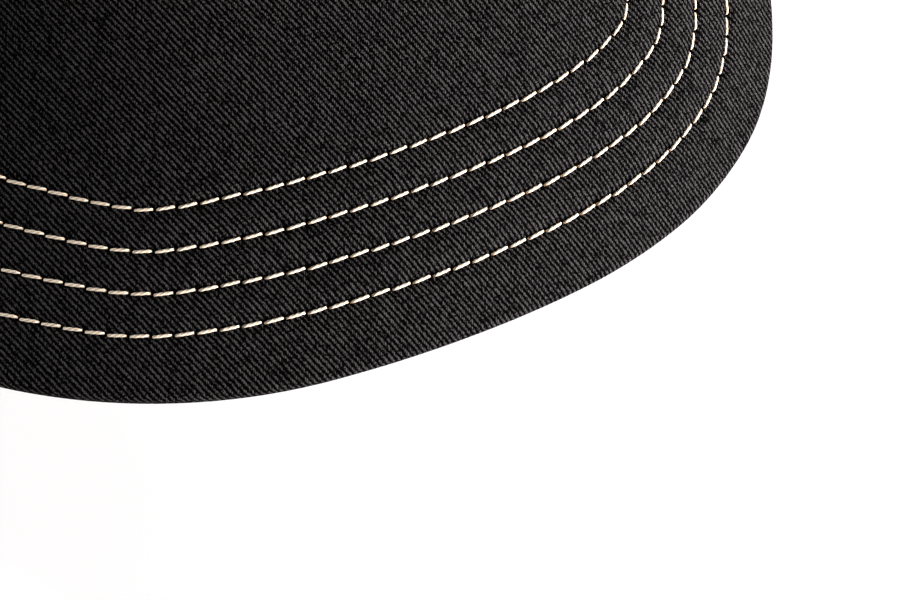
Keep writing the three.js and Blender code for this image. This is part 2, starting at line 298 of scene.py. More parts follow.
mirror = np.array([-1, 1, 1])
turnedOver = [0, 3, 2, 1]  # order of corners that makes a quad face the other way
coarse = 4  # the hidden side of a cloth has every fourth point of its face
edgeWeave = 0.8  # the weave draws together round an edge


# Cloth is each point's place in the weave, across and along it, and a third value: the share of painted
# shade round a needle hole of the cloth, or of painted light on a ply of the thread
def makePiece(name, points, faces, cloth, material):
    mesh = bpy.data.meshes.new(name)
    mesh.from_pydata(toFrame(points).reshape(-1, 3).tolist(), [], faces)
    weave = mesh.attributes.new("cloth", "FLOAT_VECTOR", "POINT")
    weave.data.foreach_set("vector", np.asarray(cloth, np.float32).ravel())
    mesh.materials.append(material)
    mesh.shade_smooth()
    return addObject(name, mesh)


def addObject(name, data):
    added = bpy.data.objects.new(name, data)
    bpy.context.scene.collection.objects.link(added)
    return added


def dress(piece, slot, *nodes):
    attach(piece, "root")
    if nodes:
        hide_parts(*nodes)
    return piece


# A cut of cloth sewn to its shape: width and length of the flat cut, and its area
def declareCut(piece, width, length, area, *others):
    flat = (width * mm, length * mm)
    area * mm * mm


def declareGrid(piece, flat):
    x, y = flat[..., 0], flat[..., 1]
    across = flat[1:, 1:, :2] - flat[:-1, :-1, :2]
    other = flat[1:, :-1, :2] - flat[:-1, 1:, :2]
    area = np.abs(across[..., 0] * other[..., 1] - across[..., 1] * other[..., 0]).sum() / 2
    declareCut(piece, np.ptp(x), np.ptp(y), area)


# The same wall on either side of the hat
def onSide(side, face, cloth):
    if side > 0:
        return face, cloth
    return (face * mirror)[:, ::-1], cloth[:, ::-1]


# Grid of numbers for the points of a grid
def numbered(grid, first=0):
    rows, columns = grid.shape[:2]
    return first + np.arange(rows * columns).reshape(rows, columns)


# Border of a grid of numbers, anticlockwise from its first corner
def borderOf(index):
    return np.concatenate([index[0, :-1], index[:-1, -1], index[-1, :0:-1], index[:0:-1, 0]])


def gridQuads(index):
    return stacked(index[:-1, :-1], index[:-1, 1:], index[1:, 1:], index[1:, :-1]).reshape(-1, 4)


# Quads from each ring of points to the next. A ring's last point joins its first.
def ringQuads(rings):
    return np.concatenate([
        stacked(a, np.roll(a, -1, -1), np.roll(b, -1, -1), b).reshape(-1, 4)
        for a, b in zip(rings, rings[1:])
    ])


# Faces of a closed tube and its two ends, from its grid of numbers
def tubeFaces(index):
    return ringQuads(index).tolist() + [index[0, ::-1].tolist(), index[-1].tolist()]


# Rings of a turned form, from its profile of radii and heights
def spun(profile, sides):
    radii, heights = np.array(profile).T[..., None]
    angles = np.linspace(0, 2 * math.pi, sides, endpoint=False)
    return stacked(radii * np.cos(angles), radii * np.sin(angles), heights)


# Steps of an edge outwards and inwards through the thickness of a wall
def roundSteps(radius, angles):
    return [(radius * math.sin(a), radius * (1 - math.cos(a))) for a in angles]


def roundEdge(thickness):
    return roundSteps(thickness / 2, np.linspace(0, math.pi, 5)[1:-1])


# Turned edge: a wide round outside and a tight one where it meets the lining
def turnedEdge(thickness, radius, tight=0.1):
    return roundSteps(radius, np.linspace(0, math.pi / 2, 5)[1:]) + [(radius - tight, thickness - tight)]


# A cloth wall. Face is the side that shows, as rows of points, and the hidden side is coarser.
def clothShell(name, face, cloth, thickness, material, edge=None, normal=None):
    edge = edge or roundEdge(thickness)
    if normal is None:
        normal = unit(np.cross(np.gradient(face, axis=1), np.gradient(face, axis=0)))
    index = numbered(face)
    border = borderOf(index)
    rim, rimNormal, rimCloth = (grid.reshape(-1, 3)[border] for grid in (face, normal, cloth))
    outward = unit(np.cross(np.roll(rim, -1, 0) - np.roll(rim, 1, 0), rimNormal))
    x, y, _ = rimCloth.T
    anticlockwise = 1 if (x * np.roll(y, -1) - np.roll(x, -1) * y).sum() > 0 else -1
    alongX, alongY, _ = (np.roll(rimCloth, -1, 0) - np.roll(rimCloth, 1, 0)).T
    clothOut = unit(stacked(alongY, -alongX, 0.0)) * anticlockwise
    points, weave = [face.reshape(-1, 3)], [cloth.reshape(-1, 3)]
    for out, depth in edge:
        points.append(rim + outward * out - rimNormal * depth)
        weave.append(rimCloth + clothOut * (out + depth) * edgeWeave)
    hidden = (face - normal * thickness)[::coarse, ::coarse]
    points.append(hidden.reshape(-1, 3))
    weave.append(cloth[::coarse, ::coarse].reshape(-1, 3))

    count = len(border)
    rings = [border] + [index.size + k * count + np.arange(count) for k in range(len(edge))]
    inside = numbered(hidden, index.size + len(edge) * count)
    quads = [gridQuads(index), ringQuads(rings)[:, turnedOver], gridQuads(inside)[:, turnedOver]]
    faces = np.concatenate(quads).tolist()

    # triangles from the last ring to the border of the coarser grid
    last, inner = rings[-1], borderOf(inside)
    nextInner = np.roll(inner, -1)
    for step in range(coarse):
        here, there = last[step::coarse], np.roll(last, -1)[step::coarse]
        faces += stacked(here, inner if step < coarse / 2 else nextInner, there).tolist()
        if step == coarse // 2 - 1:
            faces += stacked(there, inner, nextInner).tolist()
    return makePiece(name, np.concatenate(points), faces, np.concatenate(weave), material)


# Sewing thread: one short two-ply length for each stitch, whose ends dive into the cloth
thread = {
    "radius": 0.265,
    "endRadius": 0.5,  # share of it left at a stitch's ends
    "lift": 0.1,
    "dive": 0.5,
    "archPower": 9,  # higher makes a stitch flatter between its holes
    "plyTurn": 1.9,
    "plyDepth": 0.26,
    "needleHole": 0.12,
    "slant": 0.11,
    "unevenLift": 0.03,
    "unevenSlant": 0.04,
    "endPower": 0.45,  # lower makes its ends blunter
    "blunt": 0.03,
    "paintedEndLight": 0.55,  # share of the painted light on its plies that is left at its ends, which are painted darker
    "fibreShift": 7.0,  # no two stitches have the same fibres
    "fineGrid": (15, 9),  # rings and sides of a stitch on top of the peak
    "underGrid": (11, 8),
    "plainGrid": (8, 6),
}


def stitches(name, starts, ends, normals, material, scale=1.0, grid="plainGrid", seed=1):
    draw = np.random.default_rng(seed)
    rings, sides = thread[grid]
    count = len(starts)
    along = ends - starts
    length = np.linalg.norm(along, axis=-1)[:, None]
    side = unit(np.cross(normals, along))
    share = np.linspace(0, 1, rings)
    hole = thread["needleHole"] * scale / length
    inShare = mix(hole, 1 - hole, share)
    arch = 1 - np.abs(2 * share - 1) ** thread["archPower"]
    wobble = draw.normal(0, thread["unevenLift"], (count, 1)) * scale
    lift = mix(-thread["dive"], thread["lift"], arch) * scale + wobble
    stray = draw.normal(0, thread["unevenSlant"], (count, 1)) * scale
    sway = (2 * share - 1) * thread["slant"] * scale + stray
    centre = (
        starts[:, None] + along[:, None] * inShare[..., None]
        + normals[:, None] * lift[..., None] + side[:, None] * sway[..., None]
    )
    angle = np.linspace(0, 2 * math.pi, sides, endpoint=False)
    run = inShare * length
    twist = draw.uniform(0, math.pi, (count, 1)) + run * 2 * math.pi / thread["plyTurn"] / scale
    ply = np.abs(np.cos(angle + twist[..., None]))
    taper = np.sin(np.pi * np.clip(share, thread["blunt"], 1 - thread["blunt"])) ** thread["endPower"]
    swell = mix(thread["endRadius"], 1, taper)
    radius = thread["radius"] * scale * swell[:, None] * mix(1 - thread["plyDepth"], 1, ply)
    points = (
        centre[:, :, None]
        + side[:, None, None] * (radius * np.cos(angle))[..., None]
        + normals[:, None, None] * (radius * np.sin(angle))[..., None]
    )
    # the third value is painted light on the crests of the plies, less towards the stitch's ends
    cloth = stacked(
        run[..., None] + np.arange(count)[:, None, None] * thread["fibreShift"],
        angle * thread["radius"] * scale,
        ply * mix(thread["paintedEndLight"], 1, arch)[:, None],
    )
    faces = [face for k, one in enumerate(points) for face in tubeFaces(numbered(one, k * rings * sides))]
    return makePiece(name, points, faces, cloth, material)


# Finishes. A shade is the output of a node, and a sum of shades and numbers adds maths nodes.

class Shade:
    def __init__(self, socket):
        self.socket, self.tree = socket, socket.id_data

    def maths(self, operation, *values):
        node = self.tree.nodes.new("ShaderNodeMath")
        node.operation = operation
        for socket, value in zip(node.inputs, values or [self]):
            plug(value, socket)
        return Shade(node.outputs[0])

    def __add__(self, other):
        return self.maths("ADD", self, other)

    def __sub__(self, other):
        return self.maths("SUBTRACT", self, other)

    def __rsub__(self, other):
        return self.maths("SUBTRACT", other, self)

    def __mul__(self, other):
        return self.maths("MULTIPLY", self, other)

    def __truediv__(self, other):
        return self.maths("DIVIDE", self, other)

    def __pow__(self, other):
        return self.maths("POWER", self, other)

    def __abs__(self):
        return self.maths("ABSOLUTE")

    __radd__, __rmul__ = __add__, __mul__


def plug(value, socket):
    if isinstance(value, Shade):
        value.tree.links.new(value.socket, socket)
    else:
        socket.default_value = value


def plugAll(node, inputs):
    for name, value in inputs.items():
        plug(value, node.inputs[name])


def addNode(tree, kind, **inputs):
    node = tree.nodes.new(kind)
    plugAll(node, inputs)
    return node


def newFinish(name):
    material = bpy.data.materials.new(name)
    material.use_nodes = True
    return material


# The place that makePiece keeps in a mesh, and its three parts
def clothPlace(material):
    attribute = addNode(material.node_tree, "ShaderNodeAttribute")
    attribute.attribute_name = "cloth"
    place = Shade(attribute.outputs["Vector"])
    parts = addNode(material.node_tree, "ShaderNodeSeparateXYZ", Vector=place).outputs
    return place, *(Shade(part) for part in parts)


def joinPlace(x, y):
    return Shade(addNode(x.tree, "ShaderNodeCombineXYZ", X=x, Y=y).outputs[0])


def noiseOf(place, scale, detail=2.0, roughness=0.5):
    node = addNode(place.tree, "ShaderNodeTexNoise", Vector=place, Scale=scale, Detail=detail)
    plug(roughness, node.inputs["Roughness"])
    return Shade(node.outputs[0])


def randomOf(x, y):
    node = addNode(x.tree, "ShaderNodeTexWhiteNoise", Vector=joinPlace(x, y))
    node.noise_dimensions = "2D"
    return Shade(node.outputs[0])


def ramp(factor, *stops):
    node = addNode(factor.tree, "ShaderNodeValToRGB", Fac=factor)
    elements = node.color_ramp.elements
    while len(elements) < len(stops):
        elements.new(0.5)
    for element, (position, colour) in zip(elements, stops):
        element.position = position
        element.color = (*colour, 1)
    return Shade(node.outputs[0])


def surface(material, look, colour, height, roughness=None):
    bump = addNode(material.node_tree, "ShaderNodeBump", Distance=look["relief"] * mm, Height=height)
    plugAll(material.node_tree.nodes["Principled BSDF"], {
        "Base Color": colour,
        "Roughness": roughness or look["roughness"],
        "Specular IOR Level": look["specular"],
        "Normal": Shade(bump.outputs[0]),
    })
    return material


twillCloth = {
    "yarn": 0.269,
    # painted shade: these colours run from the dark low between the yarns, over their sides, to their paler
    # crests
    "shadedValley": (0.0001, 0.0001, 0.0001),
    "body": (0.0013, 0.0012, 0.0012),
    "crest": (0.0565, 0.0523, 0.0532),
    "stops": (0.2, 0.45, 1.0),
    "waver": 0.2,  # how far the ribs stray from straight
    "waverScale": 0.35,
    "fineWaver": 0.12,
    "fineScale": 2.2,
    "unevenFloats": 1.1,  # spread of the shades about 1
    "unevenFibres": 4.1,
    "patches": 0.16,
    "patchScale": 0.09,
    "fibres": (4.6, 3.4),  # to each millimetre across and along
    "fibreRelief": 0.25,
    "holeShadeStrength": 0.75,
    "relief": 0.17,
    "roughness": 0.7,
    "specular": 0.006,
}

tapeCloth = {
    "yarn": 0.2,
    # painted shade: dark low between the yarns, paler on their crests
    "shadedValley": (0.0008, 0.0008, 0.0008),
    "crest": (0.016, 0.0152, 0.0154),
    "stops": (0.0, 0.9),
    "unevenFloats": 0.45,
    "patches": 0.4,
    "patchScale": 0.15,
    "fibreScale": 9.0,
    "fibreRelief": 0.3,
    "holeShadeStrength": 0.6,
    "relief": 0.1,
    "roughness": 0.85,
    "specular": 0.08,
}

netYarn = {
    "stitch": 0.42,
    "zigzag": 1.4,
    # painted shade: dark low between the knitted loops, paler on them
    "shadedValley": (0.0012, 0.0012, 0.0013),
    "crest": (0.02, 0.02, 0.021),
    "stops": (0.15, 0.95),
    "loopRelief": 0.3,
    "fuzz": 0.4,
    "fuzzScale": 7.0,
    "relief": 0.1,
    "roughness": 0.5,
    "specular": 0.2,
}

sewingYarn = {
    "stops": (0.12, 0.42, 0.8),
    "paintedPlyLight": 0.75,
    "fibreShade": 0.5,
    "fibreScale": 1.6,
    "relief": 0.05,
    "roughness": 0.6,
    "specular": 0.35,
}

plastic = {
    "dark": (0.007, 0.007, 0.0075),
    "pale": (0.017, 0.017, 0.018),
    "stops": (0.35, 0.75),
    "grainShade": 0.6,
    "grainScale": 3.0,
    "scuffShade": 0.4,
    "relief": 0.04,
    "roughness": 0.34,
    "scuffed": 0.18,  # added roughness where it is scuffed
    "specular": 0.5,
}


weave = {
    "floatStep": 4,  # yarns from the start of a float to the next in its column
    "lean": 0.8,  # how far a float slants into the rib that it lies in
    "sidePower": 2.4,  # higher makes a yarn flatter across
    "sideFall": 0.5,
    "endPower": 1.25,
    "byFloat": 0.4,  # share of the random shade that a whole float has, and each crossing the rest
}


# A random shade from 0 to 1, spread about 1
def spread(shade, width):
    return shade * width + (1 - width / 2)


# Twill: floats of one yarn over three, each one yarn further along than its neighbour, so
# that they line up in diagonal ribs. It gives the height and a random value for each float.
def twillFloats(x, y, yarn):
    across = x / yarn
    column = across.maths("FLOOR")
    inColumn = across.maths("FRACT") - 0.5
    along = (y / yarn - (column + inColumn * weave["lean"])) * (1 / weave["floatStep"])
    inFloat = along.maths("FRACT") - 0.5
    acrossFall = abs(inColumn * 2) ** weave["sidePower"] * weave["sideFall"]
    height = (1 - acrossFall) * (1 - abs(inFloat * 2) ** weave["endPower"])
    byFloat = randomOf(column, along.maths("FLOOR"))
    byCrossing = randomOf(column, (y / yarn).maths("FLOOR"))
    return height, byFloat * weave["byFloat"] + byCrossing * (1 - weave["byFloat"])


def makeTwill():
    material = newFinish("charcoal cotton twill")
    place, x, y, paintedHoleShade = clothPlace(material)
    waver = (noiseOf(place, twillCloth["waverScale"]) - 0.5) * twillCloth["waver"]
    fineWaver = (noiseOf(place, twillCloth["fineScale"]) - 0.5) * twillCloth["fineWaver"]
    height, chance = twillFloats(x + waver + fineWaver, y, twillCloth["yarn"])
    fibresAcross, fibresAlong = twillCloth["fibres"]
    fibre = noiseOf(joinPlace(x * fibresAcross, y * fibresAlong), 1.0, 2.0, 0.6)
    uneven = spread(chance, twillCloth["unevenFloats"]) * spread(fibre, twillCloth["unevenFibres"])
    patchy = spread(noiseOf(place, twillCloth["patchScale"], 4.0), twillCloth["patches"])
    # painted shade: the colour is darker where the weave lies low and round the needle holes; the random
    # floats, fibres and patches are the cloth's own tone
    lightness = height * uneven * patchy * (1 - paintedHoleShade * twillCloth["holeShadeStrength"])
    colours = (twillCloth["shadedValley"], twillCloth["body"], twillCloth["crest"])
    colour = ramp(lightness, *zip(twillCloth["stops"], colours))
    return surface(material, twillCloth, colour, height + fibre * twillCloth["fibreRelief"])


# Tape has a herringbone weave, mirrored about its middle line where x is 0
def makeTape():
    material = newFinish("black herringbone tape")
    place, x, y, paintedHoleShade = clothPlace(material)
    height, chance = twillFloats(abs(x), y, tapeCloth["yarn"])
    fibre = noiseOf(place, tapeCloth["fibreScale"], 3.0, 0.6)
    patchy = spread(noiseOf(place, tapeCloth["patchScale"], 3.0), tapeCloth["patches"])
    uneven = mix(1 - tapeCloth["unevenFloats"], 1, chance)
    # painted shade: darker where the weave lies low; the random floats and patches are the tape's own tone
    lightness = height * patchy * uneven * (1 - paintedHoleShade * tapeCloth["holeShadeStrength"])
    colour = ramp(lightness, *zip(tapeCloth["stops"], (tapeCloth["shadedValley"], tapeCloth["crest"])))
    return surface(material, tapeCloth, colour, height + fibre * tapeCloth["fibreRelief"])


# Net strands are knitted from fine loops, which show as a close zigzag
def makeNet():
    material = newFinish("black knitted net")
    place, x, y, _ = clothPlace(material)
    turn = 2 * math.pi / netYarn["stitch"]
    loops = (y * turn + (x * turn).maths("SINE") * netYarn["zigzag"]).maths("SINE")
    fuzz = noiseOf(place, netYarn["fuzzScale"], 3.0, 0.6)
    height = (loops + 1) * netYarn["loopRelief"] + fuzz * netYarn["fuzz"]
    # painted shade: darker low between the loops; the random fuzz is the net's own tone
    colour = ramp(height, *zip(netYarn["stops"], (netYarn["shadedValley"], netYarn["crest"])))
    return surface(material, netYarn, colour, height)


def makeThread(name, *colours):
    material = newFinish(name)
    _, x, y, crest = clothPlace(material)
    fibre = noiseOf(joinPlace(x * 3 + y * 9, y * 2), sewingYarn["fibreScale"], 3.0, 0.6)
    # painted light and shade: lighter on the crests of the plies, darker in the grooves between them and
    # towards the stitch's ends; the fibres are the thread's own tone
    lightness = crest * sewingYarn["paintedPlyLight"] + (fibre - 0.25) * sewingYarn["fibreShade"]
    colour = ramp(lightness, *zip(sewingYarn["stops"], colours))
    return surface(material, sewingYarn, colour, fibre)


def makePlastic():
    material = newFinish("black moulded plastic")
    place, x, y, _ = clothPlace(material)
    grain = noiseOf(place, plastic["grainScale"], 4.0, 0.6)
    scuffs = noiseOf(joinPlace(x * 0.4, y * 5), 1.0, 4.0)
    lightness = grain * plastic["grainShade"] + scuffs * plastic["scuffShade"]
    colour = ramp(lightness, *zip(plastic["stops"], (plastic["dark"], plastic["pale"])))
    return surface(material, plastic, colour, grain, scuffs * plastic["scuffed"] + plastic["roughness"])


twillFinish = makeTwill()
tapeFinish = makeTape()
netFinish = makeNet()
plasticFinish = makePlastic()
# the darker stops of each thread are painted shade in the grooves between its plies
creamThread = makeThread("cream two-ply thread", (0.2, 0.075, 0.025), (0.68, 0.47, 0.29), (0.93, 0.86, 0.74))
darkThread = makeThread(
    "black sewing thread", (0.003, 0.003, 0.003), (0.012, 0.0115, 0.0115), (0.045, 0.043, 0.043))
print("finishes made")

# Peak covers and their stitched rows

peakSides = {
    "top": {"columns": 392, "rows": 104, "swellSeed": 5, "threadGrid": "fineGrid", "threadSeed": 11},
    "under": {"columns": 280, "rows": 72, "swellSeed": 8, "threadGrid": "underGrid", "threadSeed": 12},
}


def nearest(points, targets):
    flat = points.reshape(-1, 2)
    squared = (flat**2).sum(1)[:, None] + (targets**2).sum(1)[None] - 2 * flat @ targets.T
    found = squared.argmin(1)
    distance = np.sqrt(np.maximum(squared[np.arange(len(flat)), found], 0))
    return distance.reshape(points.shape[:-1]), found.reshape(points.shape[:-1])


def seamForward(across):
    seam = seamPoint(np.linspace(-panel, panel, 200), 0.0)
    return np.interp(across, seam[:, 0], seam[:, 1])


# Distance of a stitched row from the front edge, at a length along the edge from its middle
def rowDistance(row, along):
    bow = peak["middleBow"] * (1 + peak["bowGrowth"] * row) * channel(along, peak["bowWidth"])
    return peak["rowOffset"] + row * peak["rowStep"] - bow


# Needle holes of one stitched row
def rowHoles(row):
    shares = np.linspace(-1, 1, 4001)
    edge, inward = peakEdge(shares)
    line = edge + inward * rowDistance(row, shares * peakHalfEdge)[:, None]
    line = line[line[:, 1] - seamForward(line[:, 0]) > peak["rowEnd"]]
    return stacked(*evenly(line, peak["stitch"], *line.T))


holeRows = [rowHoles(row) for row in range(peak["rowCount"])]


# Height of the cloth over its even surface: sewn channels, a slight swell between them, dimples
# at the needle holes and small pulls beside each stitch
def peakRelief(flat):
    shares = np.linspace(-1, 1, 3001)
    fromEdge, place = nearest(flat, peakEdge(shares)[0])
    fromHole, _ = nearest(flat, np.concatenate(holeRows))
    rows = [rowDistance(row, shares[place] * peakHalfEdge) for row in range(peak["rowCount"])]
    first, last, fade = rows[0], rows[-1], peak["puffFade"]
    clear = smoothStep(flat[..., 1] - seamForward(flat[..., 0]), *peak["seamFade"])
    sewn = sum(channel(fromEdge - row, peak["grooveWidth"]) for row in rows) * clear
    inRows = smoothStep(fromEdge, first - fade, first) * (1 - smoothStep(fromEdge, last, last + fade))
    wave = 0.5 - 0.5 * np.cos(2 * math.pi * (fromEdge - first) / (rows[1] - first))
    relief = peak["puff"] * wave * inRows - peak["groove"] * sewn
    relief -= peak["dimple"] * channel(fromHole, peak["dimpleWidth"])
    relief -= peak["pull"] * channel(fromHole, peak["pullWidth"])
    # with the height goes the share of painted shade in the middle of each dimple
    return relief, channel(fromHole, peak["holeShadeWidth"])


swellWaves = {
    "count": 7,
    "pace": (0.6, 1.6),  # waves to each size of the swell
    "level": 3.0,  # what the waves add up to where they meet, as a rule
}


# A smooth random swell over a face, the same each run
def softSwell(flat, size, height, seed):
    draw = np.random.default_rng(seed)
    swell = np.zeros(flat.shape[:-1])
    for _ in range(swellWaves["count"]):
        direction = draw.uniform(0, 2 * math.pi)
        wave = draw.uniform(*swellWaves["pace"]) * 2 * math.pi / size
        phase = draw.uniform(0, 2 * math.pi)
        run = flat[..., 0] * math.cos(direction) + flat[..., 1] * math.sin(direction)
        swell += np.sin(run * wave + phase)
    return swell * height / swellWaves["level"]


def peakCover(word):
    part = peakSides[word]
    share = np.linspace(-1, 1, part["columns"] + 1) * (1 - peak["edgeRound"] / peakHalfEdge)
    along = np.linspace(0, 1, part["rows"] + 1)[:, None, None]
    edge, inward = peakEdge(share)
    outer = edge + inward * (peak["edgeRound"] + peak["edgePull"])
    seam = seamPoint(share * panel, peak["underRim"] - peak["edgeRound"])
    flat = mix(outer, seam, along)
    across, forward = flat[..., 0], flat[..., 1]
    relief, paintedHoleShade = peakRelief(flat)
    relief += softSwell(flat, peak["swellSize"], peak["swell"], part["swellSeed"])
    # the cloth carries the painted shade of the needle holes
    cloth = stacked(across, forward, paintedHoleShade)
    normal = peakNormal(across)
    if word == "top":
        face = peakPoint(across, forward, relief)
    else:
        face = peakPoint(across, forward, -peakTotal - relief)
        face, cloth, normal = face[:, ::-1], cloth[:, ::-1], -normal[:, ::-1]
    edgeSteps = turnedEdge(peak["thickness"], peak["edgeRound"])
    piece = clothShell(f"peak_cloth_{word}", face, cloth, peak["thickness"], twillFinish, edgeSteps, normal)
    declareGrid(dress(piece, "twill", f"peak_cover_{word}"), flat)


def peakThread(word):
    part = peakSides[word]
    starts = np.concatenate([row[:-1] for row in holeRows])
    ends = np.concatenate([row[1:] for row in holeRows])
    normals = peakNormal((starts[:, 0] + ends[:, 0]) / 2)
    lift = -peak["threadSink"]
    if word == "under":
        normals, lift = -normals, -peakTotal - lift
    a, b = peakPoint(*starts.T, lift), peakPoint(*ends.T, lift)
    grid, seed = part["threadGrid"], part["threadSeed"]
    dress(stitches(f"peak_stitches_{word}", a, b, normals, creamThread, grid=grid, seed=seed), "thread")


for make in (peakCover, peakThread):
    for word in peakSides:
        make(word)
print("peak made")

# Crown front panels

front = {
    "thickness": 2.0,
    "columns": 96,
    "rows": 140,
    "seamRow": 2.8,  # topstitching, from the seam
    "groove": 0.22,
    "stitch": 3.0,
    "threadSink": 0.132,
    "swell": 0.25,
    "swellSize": 70,
}


# Climb at which a wall reaches the height that the rim has there
def climbAtRim(azimuth, inset, rimHeight):
    climb = np.zeros(np.shape(azimuth))
    for _ in range(12):
        point = crownPoint(azimuth, climb, inset)
        climb = np.maximum(climb + (rimHeight(point) - point[..., 2]) / crown["height"], 0)
    return climb


def overPeak(point):
    x = np.clip(point[..., 0], -crown["halfWidth"], crown["halfWidth"])  # within the peak's bend
    return seamRise + topRise(x, point[..., 1]) + crown["gap"]


# Azimuth at a share of a panel's width, with a margin in millimetres left free at both seams
def panelAzimuth(start, share, climb, margin):
    end = start + panel
    return mix(start + margin / girth(start, climb), end - margin / girth(end, climb), share)


def frontPanel(side, word):
    radius, row = front["thickness"] / 2, front["seamRow"]
    share = np.linspace(0, 1, front["columns"] + 1)[None]
    along = np.linspace(0, 1, front["rows"] + 1)[:, None]
    foot = climbAtRim(share * panel, 0.0, overPeak) + radius / crown["height"]
    climb = mix(foot, climbAtReach(share * panel, crown["openTop"]), along)
    azimuth = panelAzimuth(0.0, share, climb, crown["seamJoin"] + radius)
    wide = girth(azimuth, climb)
    rise = runOf(crownSkin(azimuth, climb))
    rise *= rise[-1, front["columns"] // 2] / rise[-1:]  # the weave stays straight up to the top
    cloth = stacked((azimuth - panel / 2) * wide, -rise, 0.0)
    sewn = channel(azimuth * wide - row) + channel((panel - azimuth) * wide - row)
    relief = softSwell(cloth, front["swellSize"], front["swell"], 20 + side) - front["groove"] * sewn
    face, cloth = onSide(side, crownPoint(azimuth, climb, -relief), cloth)
    piece = clothShell(f"front_cloth_{word}", face, cloth, front["thickness"], twillFinish)
    declareGrid(dress(piece, "twill", f"front_panel_{word}"), cloth)


# Evenly spaced points and outward normals up the crown, at a distance beside a panel seam
def seamRun(azimuth, aside, foot, top, pitch, inset=0.0):
    def beside(climb):
        return azimuth + aside / girth(azimuth, climb)

    climbs = np.linspace(foot, top, 400)
    at, = evenly(crownPoint(beside(climbs), climbs, inset), pitch, climbs)
    return crownPoint(beside(at), at, inset), crownNormal(beside(at), at)


# Tonal stitches along runs of points and normals
def tonalStitches(name, runs, seed, scale=0.8, inwards=False):
    starts = np.concatenate([points[:-1] for points, _ in runs])
    ends = np.concatenate([points[1:] for points, _ in runs])
    normals = np.concatenate([unit(n[:-1] + n[1:]) for _, n in runs]) * (-1 if inwards else 1)
    dress(stitches(name, starts, ends, normals, darkThread, scale, seed=seed), "cotton_tape")


sides = ((-1, "left"), (1, "right"))
for side, word in sides:
    frontPanel(side, word)

seamTop = climbAtReach(0.0, crown["stitchTop"])
frontRuns = []
for seam, asides in ((0.0, (-1, 1)), (-panel, (1,)), (panel, (-1,))):
    foot = float(climbAtRim(np.array(abs(seam)), 0.0, overPeak)) + 1 / crown["height"]
    for aside in asides:
        row = aside * front["seamRow"]
        frontRuns.append(seamRun(seam, row, foot, seamTop, front["stitch"], front["threadSink"]))
tonalStitches("front_seam_stitches", frontRuns, 31)
print("front panels made")

# Net panels: a knitted net of rounded holes, with a cloth hem and side borders

net = {
    "pitch": 3.5,
    "hole": 1.36,  # from a hole's middle to its corners
    "flatHole": 0.93,  # share of that to the middles of its sides
    "round": 0.22,
    "roundDepth": 0.132,
    "outer": 0.38,  # depth of its two faces under the crown's skin
    "inner": 1.25,
    "border": 5.0,
    "hem": 9.0,
    "borderThickness": 1.4,
    "borderLift": 0.05,
    "overHem": 0.25,  # the borders start this far above the hem
    "underBorder": 2.2,  # the net runs in under its borders
    "borderRow": 2.6,
}
netRowStep = net["pitch"] * math.sqrt(3) / 2

arch = {
    "halfWidth": 40,
    "height": 50,
    "leg": 8,
    "thickness": 0.8,
    "edge": 1.3,
    "inside": 2.35,
    "row": 6.2,
    "run": 150,  # length of the binding along the arch
    "groove": 0.18,
    "grooveWidth": 0.6,
    "stitches": 44,
    "threadSink": 0.12,
    "netMargin": 3.0,  # holes of the net stop this far from it
    "hemMargin": 1.5,
}


def beyondArch(azimuth, climb):
    x, _, z = np.moveaxis(crownSkin(azimuth, climb), -1, 0)
    margin = arch["netMargin"]
    return np.hypot(x / (arch["halfWidth"] + margin), z / (arch["height"] + margin)) > 1


# Middles of the holes on a panel's flat pattern, across from its middle line and up it
def netHoles(middle, atBack, rises, climbs):
    pitch = net["pitch"]
    holes = []
    for row in range(int(rises[-1] / netRowStep)):
        y = net["hem"] - net["underBorder"] + row * netRowStep
        climb = np.interp(y, rises, climbs)
        wide = float(girth(middle, climb))
        half = wide * panel / 2 - net["border"] + net["underBorder"]
        shift = (row % 2) / 2
        columns = np.arange(math.ceil(-half / pitch - shift), math.floor(half / pitch - shift) + 1)
        xs = (columns + shift) * pitch
        if atBack:
            xs = xs[beyondArch(middle + xs / wide, climb)]
        if y < rises[-1] - 1:
            holes += [(x, y) for x in xs]
    return np.array(holes)


# Points and quads of the net round its holes. A point is across, up and below the skin.
def netMesh(holes):
    turns = np.arange(12) * math.pi / 6
    spokes = stacked(np.cos(turns), np.sin(turns))
    atCorner = np.arange(12) % 2 == 1

    # six-cornered outlines of the cells, which share their points with their neighbours
    reach = np.where(atCorner, net["pitch"] / math.sqrt(3), net["pitch"] / 2)
    outlines = (holes[:, None] + spokes * reach[:, None]).reshape(-1, 2)
    _, first, same = np.unique(
        np.round(outlines / 0.01).astype(int), axis=0, return_index=True, return_inverse=True)
    shared = outlines[first]
    cells = same.reshape(-1, 12)
    count = len(shared)

    # rings of each cell, from its outline over the strand into the hole and back
    middle = (net["outer"] + net["inner"]) / 2
    steps = [(net["round"], net["outer"] + net["roundDepth"]), (0, middle),
             (net["round"], net["inner"] - net["roundDepth"])]
    points = [stacked(*shared.T, net["outer"]), stacked(*shared.T, net["inner"])]
    rings = [cells]
    for k, (wider, depth) in enumerate(steps):
        reach = net["hole"] * np.where(atCorner, 1, net["flatHole"]) + wider
        ring = (holes[:, None] + spokes * reach[:, None]).reshape(-1, 2)
        points.append(stacked(*ring.T, depth))
        rings.append(2 * count + k * cells.size + np.arange(cells.size).reshape(cells.shape))
    quads = ringQuads(rings + [cells + count])

    # walls along the ragged outer edge, where an outline side belongs to one cell only
    edges = stacked(cells, np.roll(cells, -1, axis=1)).reshape(-1, 2)
    _, where, times = np.unique(np.sort(edges, axis=1), axis=0, return_inverse=True, return_counts=True)
    a, b = edges[times[where.ravel()] == 1].T
    return np.concatenate(points), np.concatenate([quads, stacked(b, a, a + count, b + count)])


